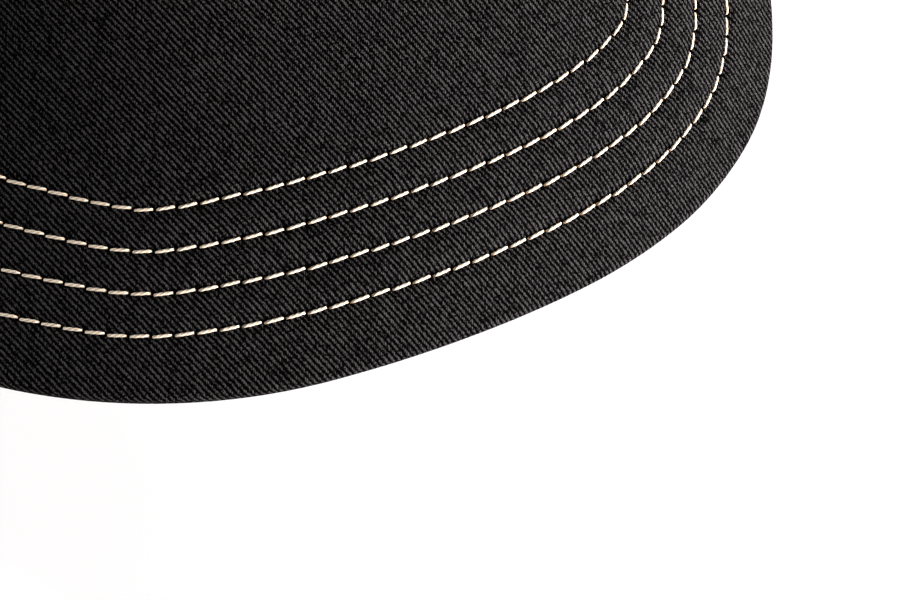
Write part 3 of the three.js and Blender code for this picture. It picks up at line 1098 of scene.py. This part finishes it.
def netPanel(start, side, atBack, word, node):
    middle = start + panel / 2
    climbs = np.linspace(0, float(climbAtReach(middle, crown["openTop"])), 600)
    rises = runOf(crownSkin(middle, climbs))
    holes = netHoles(middle, atBack, rises, climbs)
    place, quads = netMesh(holes)
    across, up, depth = place.T
    climb = np.interp(up, rises, climbs)
    points = crownPoint(middle + across / girth(middle, climb), climb, depth)
    if side < 0:
        points, quads = points * mirror, quads[:, ::-1]
    piece = makePiece(f"net_{word}", points, quads.tolist(), stacked(across, up, 0.0), netFinish)
    dress(piece, "net", node)
    borders = netBorders(start, side, atBack, word, node)
    declareCut(piece, np.ptp(across), np.ptp(up), len(holes) * net["pitch"] * netRowStep, *borders)


# Place in the weave of a strip that runs up the crown
def stripCloth(azimuth, climb, middle, x=None):
    x = (azimuth - middle) * girth(azimuth, climb) if x is None else x
    return stacked(x, runOf(crownSkin(azimuth, climb)), 0.0)


def netBorders(start, side, atBack, word, node):
    roll = net["borderThickness"] / 2
    spare = crown["seamJoin"] + roll
    middle = start + panel / 2
    endClimb = float(climbAtReach(middle, crown["openTop"]))

    def strip(name, azimuth, climb, inset, cloth):
        face, cloth = onSide(side, crownPoint(azimuth, climb, inset), cloth)
        piece = clothShell(name, face, cloth, net["borderThickness"], tapeFinish)
        return dress(piece, "cotton_tape", node)

    # hem along the rim, up to the seams or to the edge of the arch
    share = np.linspace(0, 1, 81)[None]
    low = float(climbAtHeight(middle, roll))
    high = float(climbAtHeight(middle, net["hem"]))
    climb = mix(low, high, np.linspace(0, 1, 9)[:, None])
    azimuth = panelAzimuth(start, share, climb, spare)
    if atBack:
        last = math.pi - math.asin((arch["halfWidth"] + arch["hemMargin"]) / crown["halfWidth"])
        azimuth = mix(azimuth[:, :1], last, share)
    borders = [strip(f"net_hem_{word}", azimuth, climb, 0.0, stripCloth(azimuth, climb, middle))]

    # borders beside the two seams
    share = np.linspace(0, 1, 9)[None]
    for which, seam, inward in (("front", start, 1), ("rear", start + panel, -1)):
        foot = high + net["overHem"] / crown["height"]
        if atBack and which == "rear":
            foot = float(climbAtHeight(math.pi, arch["height"] + arch["hemMargin"]))
        climb = mix(foot, endClimb, np.linspace(0, 1, 129))[:, None]
        wide = girth(seam, climb)
        across = np.minimum(mix(spare, net["border"], share), mix(spare, wide * panel / 2 - 0.1, share))
        azimuth = seam + inward * across / wide
        cloth = stripCloth(azimuth, climb, seam, across - net["border"] / 2)
        if inward < 0:
            azimuth, cloth = azimuth[:, ::-1], cloth[:, ::-1]
        borders.append(strip(f"net_border_{which}_{word}", azimuth, climb, -net["borderLift"], cloth))
    return borders


for start, where, atBack in ((panel, "side", False), (2 * panel, "back", True)):
    for side, word in sides:
        netPanel(start, side, atBack, f"{where}_{word}", f"net_panel_{where}_{word}")

netRuns = []
overArch = float(climbAtHeight(math.pi, arch["height"] + arch["leg"] + 1))
for side, _ in sides:
    for seam, aside in ((panel, 1), (2 * panel, -1), (2 * panel, 1), (math.pi, -1)):
        foot = stitchMargin if seam < math.pi else overArch
        netRuns.append(seamRun(side * seam, side * aside * net["borderRow"], foot, seamTop, front["stitch"]))
tonalStitches("net_seam_stitches", netRuns, 32)
print("net panels made")

# Sweatband inside the rim, sewn over the peak and behind the strap's ends

strap = {
    "bottom": 2.5,
    "height": 20,
    "thickness": 1.5,
    "pitch": 8.5,
    "snaps": 7,
    "lap": 22.5,
    "reach": 60,
    "holeRadius": 2.5,
    "pegRadius": 2.1,
    "pegRise": 1.0,
    "corner": 7.0,
    "edgeRound": 0.45,
    "facet": 1.25,
}
strapInset = arch["inside"] + arch["thickness"] + crown["gap"]
lapInset = strapInset + strap["thickness"] + crown["gap"]

sweatband = {
    "height": 30,
    "thickness": 1.4,
    "backGap": 42,
    "strapRun": 35,
    "overPeakEnd": (math.radians(1), math.radians(14)),  # past the peak it comes down between these
    "columns": 320,
    "rows": 24,
    "lowRow": 3.0,
    "highRow": 27.4,
    "groove": 0.25,
    "grooveWidth": 0.9,
    "stitch": 3.6,
    "threadLift": 0.12,
    "swell": 0.18,
    "swellSize": 45,
}


def sweatInset(azimuth):
    aside = (math.pi - np.abs(azimuth)) * crown["halfWidth"]
    behindStrap = 1 - smoothStep(aside, strap["reach"], strap["reach"] + sweatband["strapRun"])
    return mix(front["thickness"] + crown["gap"], lapInset, behindStrap)


def sweatPlace(azimuth, share):
    inset = sweatInset(azimuth) + sweatband["thickness"]
    overShare = 1 - smoothStep(np.abs(azimuth) - panel, *sweatband["overPeakEnd"])
    low = climbAtRim(azimuth, inset, lambda point: overShare * np.maximum(overPeak(point), 0))
    roll = sweatband["thickness"] / 2
    height = crownPoint(azimuth, low, inset)[..., 2] + mix(roll, sweatband["height"] - roll, share)
    return climbAtHeight(azimuth, height), inset


def makeSweatband():
    rows = (sweatband["lowRow"], sweatband["highRow"])
    end = backAzimuth(sweatband["backGap"]) - sweatband["thickness"] / 2 / crown["halfWidth"]
    azimuth = np.linspace(-end, end, sweatband["columns"] + 1)[None]
    share = np.linspace(0, 1, sweatband["rows"] + 1)[:, None]
    climb, inset = sweatPlace(azimuth, share)
    height = share * sweatband["height"]
    cloth = stacked(azimuth * girth(azimuth, climb), height, 0.0)
    sewn = sum(channel(height - row, sweatband["grooveWidth"]) for row in rows)
    relief = softSwell(cloth, sweatband["swellSize"], sweatband["swell"], 41) - sweatband["groove"] * sewn
    face = crownPoint(azimuth, climb, inset + relief)
    piece = clothShell("sweatband_cloth", face[:, ::-1], cloth[:, ::-1], sweatband["thickness"], twillFinish)
    declareGrid(dress(piece, "cotton_tape", "sweatband"), cloth)
    runs = []
    line = np.linspace(stitchMargin - end, end - stitchMargin, 1200)
    for row in rows:
        climb, inset = sweatPlace(line, row / sweatband["height"])
        points = crownPoint(line, climb, inset - sweatband["threadLift"])
        x, y, z, azimuth, climb = evenly(points, sweatband["stitch"], *points.T, line, climb)
        runs.append((stacked(x, y, z), crownNormal(azimuth, climb)))
    tonalStitches("sweatband_stitches", runs, 42, inwards=True)


makeSweatband()
print("sweatband made")

# Tapes over the inside of the panel seams

tape = {
    "width": 10,
    "thickness": 0.8,
    "cloth": 0.64,  # the cloth alone, which leaves room for its crown
    "clearance": 0.6,
    "topReach": 0.125,
    "row": 3.3,
    "crown": 0.12,
    "groove": 0.15,
    "grooveWidth": 0.6,
    "stitch": 3.2,
    "behindTwill": front["thickness"] + 0.95,
    "behindNet": arch["inside"],
}


def seamTape(word, azimuth, footHeight, inset):
    inset = inset + tape["thickness"]
    low = float(climbAtHeight(azimuth, footHeight + tape["thickness"] / 2))
    high = float(climbAtReach(azimuth, tape["topReach"]))
    climb = mix(low, high, np.linspace(0, 1, 97))[:, None]
    share = np.linspace(-1, 1, 13)[None]
    aside = share * (tape["width"] - tape["thickness"]) / 2
    place = azimuth + aside / girth(azimuth, climb)
    sewn = channel(np.abs(aside) - tape["row"], tape["grooveWidth"]) * tape["groove"]
    face = crownPoint(place, climb, inset - tape["crown"] * share**2 - sewn)
    cloth = stripCloth(place, climb, azimuth, aside)
    piece = clothShell(f"tape_{word}", face[:, ::-1], cloth[:, ::-1], tape["cloth"], tapeFinish)
    dress(piece, "cotton_tape", f"seam_tape_{word}")
    low, high, sunk = low + stitchMargin, high - stitchMargin, inset - tape["groove"]
    return [seamRun(azimuth, aside * tape["row"], low, high, tape["stitch"], sunk) for aside in (-1, 1)]


footHeight = sweatband["height"] + tape["clearance"]
tapeRuns = seamTape("front", 0.0, seamRise + footHeight, tape["behindTwill"])
for side, word in sides:
    tapeRuns += seamTape(f"side_{word}", side * panel, footHeight, tape["behindTwill"])
    tapeRuns += seamTape(f"rear_{word}", side * 2 * panel, footHeight, tape["behindNet"])
tapeRuns += seamTape("back", math.pi, arch["height"] + arch["leg"] + tape["clearance"], tape["behindNet"])
tonalStitches("tape_stitches", tapeRuns, 52, scale=0.7, inwards=True)
print("seam tapes made")

# Binding folded over the arched opening


def archPlace(share, outset):
    x = (arch["halfWidth"] + outset) * np.cos(share * math.pi)
    z = (arch["height"] + outset) * np.sin(share * math.pi)
    azimuth = np.full(x.shape, math.pi)
    for _ in range(8):
        azimuth = math.pi - np.arcsin(x / crownSkin(math.pi / 2, climbAtHeight(azimuth, z))[..., 0])
    return azimuth, climbAtHeight(azimuth, z)


# The binding across: steps away from the edge and out from the crown's skin
def bindingSection(outside, inside):
    gap, thick, leg, tip = crown["gap"], arch["thickness"], arch["leg"], arch["thickness"] / 2
    half, middle = (outside + inside) / 2, (outside - inside) / 2
    bend = np.linspace(math.pi / 2, -math.pi / 2, 15)
    legSteps = np.linspace(leg - tip, 0.6, 9)
    grooves = arch["groove"] * channel(legSteps - arch["row"], arch["grooveWidth"])
    section = [*zip(legSteps, outside - grooves)]
    section += [(-(arch["edge"] + 0.4) * math.cos(a), middle + half * math.sin(a)) for a in bend]
    section += [*zip(legSteps, grooves - inside)][::-1]
    section += [(leg, -inside + tip), (leg - tip, -inside + thick), (-0.2, -inside + thick)]
    section += [(-0.5, middle), (-0.2, gap), (leg - tip, gap), (leg, gap + tip)]
    return np.array(section)


def archBinding():
    outside, inside = crown["gap"] + arch["thickness"], arch["inside"] + arch["thickness"]
    section = bindingSection(outside, inside)
    along = np.linspace(0, 1, 121)[:, None]
    azimuth, climb = archPlace(along, section[:, 0])
    points = crownPoint(azimuth, climb, -section[:, 1])
    length = runOf(section)
    cloth = stacked(length - length.max() / 3, along * arch["run"], 0.0)
    index = numbered(points)
    faces = ringQuads(index)[:, turnedOver].tolist() + [index[0].tolist(), index[-1, ::-1].tolist()]
    piece = makePiece("arch_binding_tape", points, faces, cloth, tapeFinish)
    dress(piece, "cotton_tape", "arch_binding")
    at = np.linspace(0.01, 0.99, arch["stitches"] + 1)
    azimuth, climb = archPlace(at, arch["row"])
    runs = [(crownPoint(azimuth, climb, arch["threadSink"] - outside), crownNormal(azimuth, climb)),
            (crownPoint(azimuth, climb, inside - arch["threadSink"]), -crownNormal(azimuth, climb))]
    tonalStitches("arch_stitches", runs, 62, scale=0.75)


archBinding()
print("arch binding made")

# Snap strap: two moulded bands that overlap in the middle, one with holes and one with pegs


# The inner band comes out to the level of the outer one beyond the lap
def innerInset(aside):
    return mix(lapInset, strapInset, smoothStep(aside, strap["lap"] + strap["thickness"], arch["halfWidth"]))


def arcRound(x, y, radius, start, end, count):
    return [(x + radius * math.cos(a), y + radius * math.sin(a)) for a in np.linspace(start, end, count)]


# Flat wall with rounded edges between outlines, those of its holes included
def flatBand(outlines):
    curve = bpy.data.curves.new("outline", "CURVE")
    curve.dimensions = "2D"
    curve.fill_mode = "BOTH"
    curve.extrude = strap["thickness"] / 2 - strap["edgeRound"]
    curve.bevel_depth = strap["edgeRound"]
    curve.offset = -strap["edgeRound"]
    curve.bevel_resolution = 2
    for outline in outlines:
        spline = curve.splines.new("POLY")
        spline.points.add(len(outline) - 1)
        spline.use_cyclic_u = True
        for point, (x, y) in zip(spline.points, outline):
            point.co = (x, y, 0, 1)
    holder = addObject("outline", curve)
    flat = bpy.data.meshes.new_from_object(holder.evaluated_get(bpy.context.evaluated_depsgraph_get()))
    bpy.data.objects.remove(holder)
    return flat


# A band cut from its flat outline, in facets short enough to bend, then bent round the crown
def strapBand(word, low, high, freeEnd):
    height, corner = strap["height"], strap["corner"]
    places = [freeEnd * ((strap["snaps"] - 3) / 2 - i) * strap["pitch"] for i in range(strap["snaps"])]
    outline = [(low, 0.0)]
    outline += arcRound(high - corner, corner, corner, -math.pi / 2, 0, 9)
    outline += arcRound(high - corner, height - corner, corner, 0, math.pi / 2, 9)
    outline += [(low, height)]
    if freeEnd < 0:
        outline = [(low + high - x, height - y) for x, y in outline]
    holes = []
    if word == "outer":
        holes = [arcRound(x, height / 2, strap["holeRadius"], 0, 2 * math.pi, 41)[:-1] for x in places]
    flat = flatBand([outline] + holes)
    work = bmesh.new()
    work.from_mesh(flat)
    bmesh.ops.remove_doubles(work, verts=work.verts, dist=1e-4)
    cuts = [((x, 0, 0), (1, 0, 0)) for x in np.arange(low + strap["facet"], high, strap["facet"])]
    cuts += [((0, height * share, 0), (0, 1, 0)) for share in (0.2, 0.4, 0.6, 0.8)]
    for place, across in cuts:
        everything = work.verts[:] + work.edges[:] + work.faces[:]
        bmesh.ops.bisect_plane(work, geom=everything, plane_co=place, plane_no=across)
    bmesh.ops.recalc_face_normals(work, faces=work.faces[:])
    cloth = np.array([v.co for v in work.verts])
    work.verts.index_update()
    faces = [[v.index for v in f.verts] for f in work.faces]
    work.free()
    bpy.data.meshes.remove(flat)
    aside, up, through = cloth.T
    inset = strapInset if word == "outer" else innerInset(aside)
    azimuth = backAzimuth(aside)
    climb = climbAtHeight(azimuth, strap["bottom"] + up)
    points = crownPoint(azimuth, climb, inset + strap["thickness"] / 2 - through)
    if word == "inner":
        pegPoints, pegFaces, pegCloth = pegMesh(places, len(points))
        points, cloth = np.concatenate([points, pegPoints]), np.concatenate([cloth, pegCloth])
        faces += pegFaces
    piece = makePiece(f"strap_band_{word}", points, faces, cloth, plasticFinish)
    piece.data.set_sharp_from_angle(angle=math.radians(40))
    dress(piece, "strap_plastic", f"snap_strap_{word}")


# Pegs: a fillet, a stem and a rounded head that passes out through its hole
def pegMesh(places, first):
    through = crown["gap"] + strap["thickness"]
    rise, radius = through + strap["pegRise"], strap["pegRadius"]
    profile = [(radius + 0.1, -0.3), (radius + 0.1, 0.0), (radius - 0.3, 0.25),
               (radius - 0.35, through - 0.25), (radius, through + 0.05), (radius, through + 0.35),
               (radius - 0.25, rise - 0.2), (radius - 0.8, rise - 0.02), (radius * 0.3, rise)]
    peg = spun(profile, 24)
    points, faces, cloth = [], [], []
    for k, place in enumerate(places):
        azimuth = backAzimuth(place)
        climb = climbAtHeight(azimuth, strap["bottom"] + strap["height"] / 2)
        normal = crownNormal(azimuth, climb)
        side = unit(np.cross(np.array([0, 0, 1.0]), normal))
        axes = np.array([side, np.cross(normal, side), normal])
        base = crownPoint(azimuth, climb, innerInset(place))
        points.append((base + peg @ axes).reshape(-1, 3))
        cloth.append((peg + np.array([place, 0, 0])).reshape(-1, 3))
        faces += tubeFaces(numbered(peg, first + k * peg[..., 0].size))
    return np.concatenate(points), faces, np.concatenate(cloth)


strapBand("outer", -strap["reach"], strap["lap"], 1)
strapBand("inner", -strap["lap"], strap["reach"], -1)
print("strap made")

# Cloth-covered button on top

button = {
    "radius": 8.5,
    "height": 5.5,
    "rim": 1.2,
    "shankRadius": 3,
    "shankLength": 4,
    "pleats": 16,
    "pleatDepth": 0.018,  # share of the radius
    "sides": 96,
}


def topButton():
    gap, rim, radius, height = crown["gap"], button["rim"], button["radius"], button["height"]
    shank, foot = button["shankRadius"], -button["shankLength"]
    turns = np.linspace(0, math.pi / 2, 18)[:-1]
    profile = [(shank * 0.4, foot), (shank - 0.3, foot), (shank, foot + 0.3), (shank, gap),
               (radius - 1.6, gap), (radius - 0.5, gap + 0.12), (radius - 0.1, gap + 0.5)]
    profile += [(radius * math.cos(a), rim + (height - rim) * math.sin(a)) for a in turns]
    profile += [(0.3, height - 0.003), (0.03, height)]
    profile = np.array(profile)
    rings = spun(profile, button["sides"])
    angles = np.linspace(0, 2 * math.pi, button["sides"], endpoint=False)
    nearRim = channel(profile[:, 1] - rim, 1.6) * (profile[:, 0] > shank + 1)
    pleats = button["pleatDepth"] * nearRim[:, None] * np.cos(angles * button["pleats"]) ** 3
    points = rings * stacked(1 + pleats, 1 + pleats, 1) + np.array([0, crown["apexBack"], crown["height"]])
    length = runOf(profile)
    reach = (length[-1] - length + profile[-1, 0])[:, None]
    cloth = stacked(reach * np.cos(angles), reach * np.sin(angles), 0.0)
    piece = makePiece("button_cloth", points, tubeFaces(numbered(points)), cloth, twillFinish)
    dress(piece, "twill", "top_button")


topButton()
print("button made")

# Stage, lights and camera

stage = {
    "floorSize": 2.7,
    "floor": (0.94, 0.945, 0.947),
    "floorGlow": 0.12,
    "sky": (0.98, 0.985, 1.0),
    "skyStrength": 0.09,
    "backdrop": 1.03,  # the backdrop looks paler than it lights
    "lampAim": (0, 0, 0.03),
}


def makeFloor():
    size = stage["floorSize"] / 2
    mesh = bpy.data.meshes.new("floor")
    corners = [(-size, -size, 0), (size, -size, 0), (size, size, 0), (-size, size, 0)]
    mesh.from_pydata(corners, [], [(0, 1, 2, 3)])
    material = newFinish("pale floor")
    place = Shade(addNode(material.node_tree, "ShaderNodeTexCoord").outputs["Object"])
    shaded = [part * 0.99 for part in stage["floor"]]
    plugAll(material.node_tree.nodes["Principled BSDF"], {
        "Base Color": ramp(noiseOf(place, 6.0), (0.3, shaded), (0.7, stage["floor"])),
        "Roughness": 0.9,
        "Emission Color": (*stage["floor"], 1),
        "Emission Strength": stage["floorGlow"],
    })
    mesh.materials.append(material)
    addObject("floor", mesh)


# Soft boxes: place in metres round the hat, width, power in watts and colour
softBoxes = {
    "key": {"place": (1.5, -0.3, 0.24), "size": 0.54, "power": 112, "colour": (1.0, 0.965, 0.96)},
    "fill": {"place": (-1.5, -0.4, 0.18), "size": 0.34, "power": 15, "colour": (0.96, 0.98, 1.0)},
    "front": {"place": (0.1, -1.6, 0.3), "size": 0.56, "power": 7, "colour": (1.0, 0.99, 0.98)},
    "backLeft": {"place": (-0.95, 1.25, 0.5), "size": 0.8, "power": 30, "colour": (0.98, 0.99, 1.0)},
    "backRight": {"place": (0.6, 1.4, 0.5), "size": 0.8, "power": 14, "colour": (1.0, 0.99, 0.98)},
}


def makeLights():
    for name, box in softBoxes.items():
        light = bpy.data.lights.new(name, "AREA")
        light.size, light.energy, light.color = box["size"], box["power"], box["colour"]
        lamp = addObject(name, light)
        lamp.location = Vector(box["place"])
        lamp.rotation_mode = "QUATERNION"
        lamp.rotation_quaternion = (Vector(stage["lampAim"]) - lamp.location).to_track_quat("-Z", "Y")
    world = bpy.data.worlds.new("studio")
    world.use_nodes = True
    seen = Shade(addNode(world.node_tree, "ShaderNodeLightPath").outputs["Is Camera Ray"])
    plugAll(world.node_tree.nodes["Background"], {
        "Color": (*stage["sky"], 1),
        "Strength": seen * (stage["backdrop"] - stage["skyStrength"]) + stage["skyStrength"],
    })
    bpy.context.scene.world = world
    bpy.context.scene.view_settings.view_transform = "Standard"


# The camera looks down on the right half of the peak, close to square on
cameraPlace = {
    "aimAcross": 44.57,  # on the plane that touches the peak along its middle line
    "aimForward": 43.05,
    "distance": 478.6,
    "elevation": math.radians(81.16),  # above that plane
    "azimuth": math.radians(1.38),
    "roll": math.radians(-0.36),
    "lens": 132.97,
}


def makeCamera():
    rise, aside, roll = cameraPlace["elevation"], cameraPlace["azimuth"], cameraPlace["roll"]
    back = np.array([math.sin(aside) * math.cos(rise), -math.cos(aside) * math.cos(rise), math.sin(rise)])
    level = np.array([math.cos(aside), math.sin(aside), 0.0])
    upright = np.cross(back, level)
    right = level * math.cos(roll) + upright * math.sin(roll)
    up = upright * math.cos(roll) - level * math.sin(roll)
    aim = np.array([cameraPlace["aimAcross"], -cameraPlace["aimForward"], 0.0])
    spot = aim + back * cameraPlace["distance"]

    # from the plane that touches the peak to the untipped hat, and on to the frame
    matrix = np.eye(4)
    matrix[:3, :3] = tipped(tipped([right, up, back], peak["slope"]), tilt).T
    matrix[:3, 3] = toFrame(tipped(spot, peak["slope"]) + np.array([0, -crown["halfLength"], seamRise]))
    camera = addObject("camera", bpy.data.cameras.new("camera"))
    camera.data.lens = cameraPlace["lens"]
    camera.data.sensor_width = 36
    camera.data.clip_start = 0.01
    camera.matrix_world = Matrix(matrix.tolist())
    bpy.context.scene.camera = camera


makeFloor()
makeLights()
makeCamera()
print("stage, lights and camera made")
